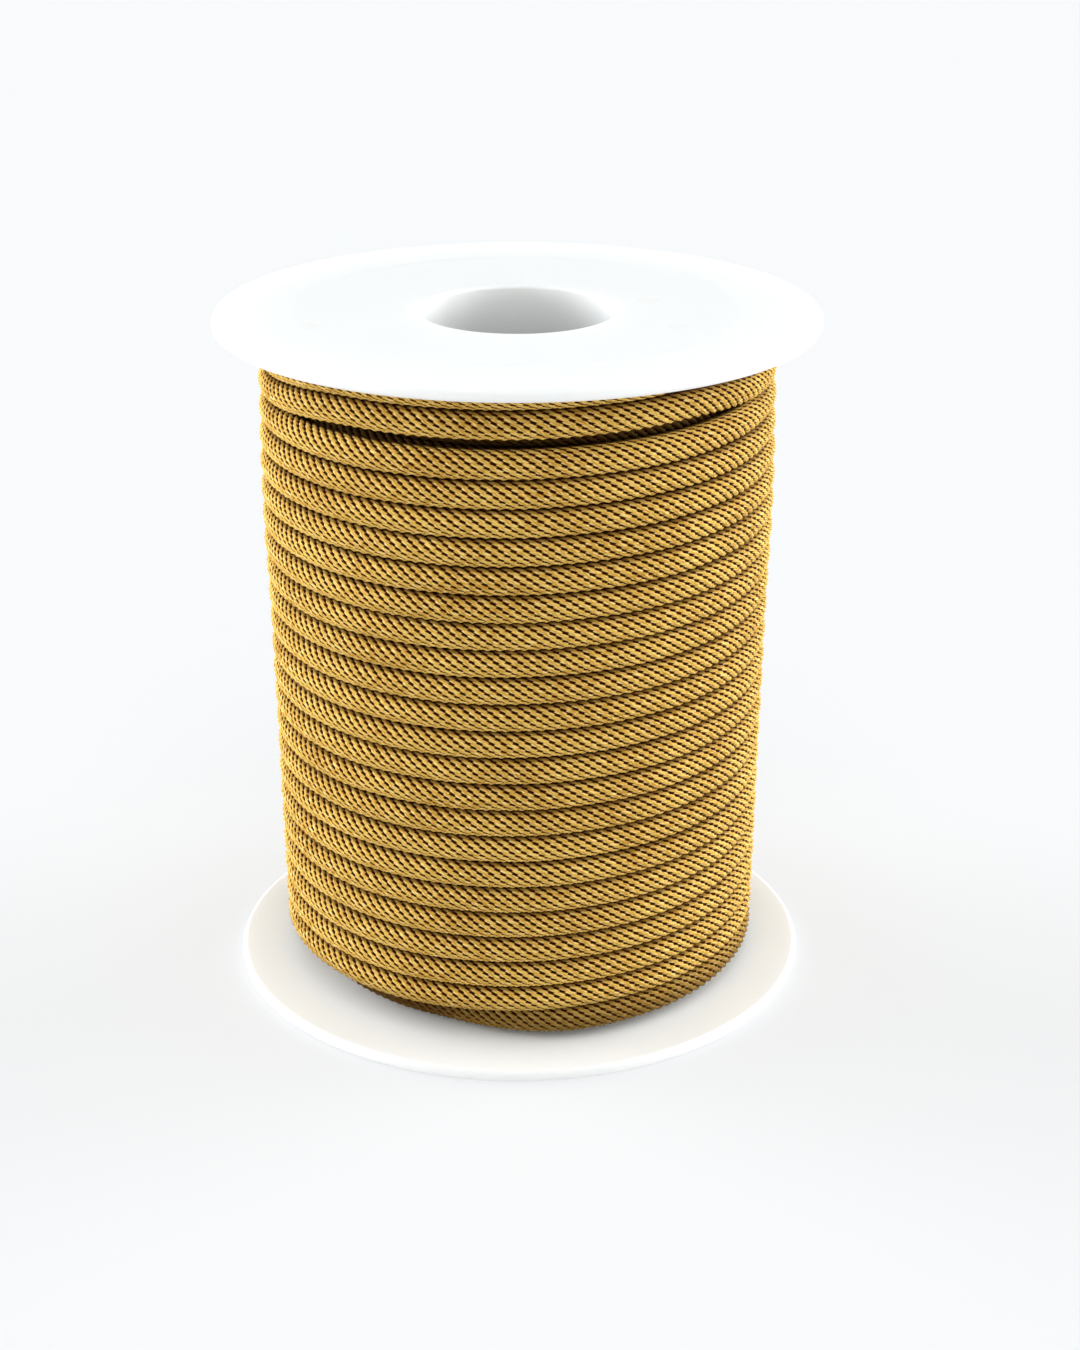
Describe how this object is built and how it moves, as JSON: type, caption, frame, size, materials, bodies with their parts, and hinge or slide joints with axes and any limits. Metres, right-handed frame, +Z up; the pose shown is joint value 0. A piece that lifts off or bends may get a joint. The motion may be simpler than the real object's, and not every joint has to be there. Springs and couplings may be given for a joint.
{
  "type": "braided cord on a spool",
  "caption": "Gold braided cord wound in close turns on a white plastic spool with thin round end flanges and an open centre hole.",
  "frame": {"origin": "centre of the spool's lower face, on the surface it stands on", "axes": "+Z up along the spool's axis; the picture looks along +Y, with +X to the right"},
  "size_m": [0.065, 0.065, 0.076],
  "materials": {
    "spool_plastic": "white moulded plastic with a soft satin surface",
    "cord": "gold round braid, 3 mm, soft sheen on the raised strands"
  },
  "bodies": {
    "root": {"spool": "spool_plastic", "wound_cord": "cord"}
  },
  "joints": []
}
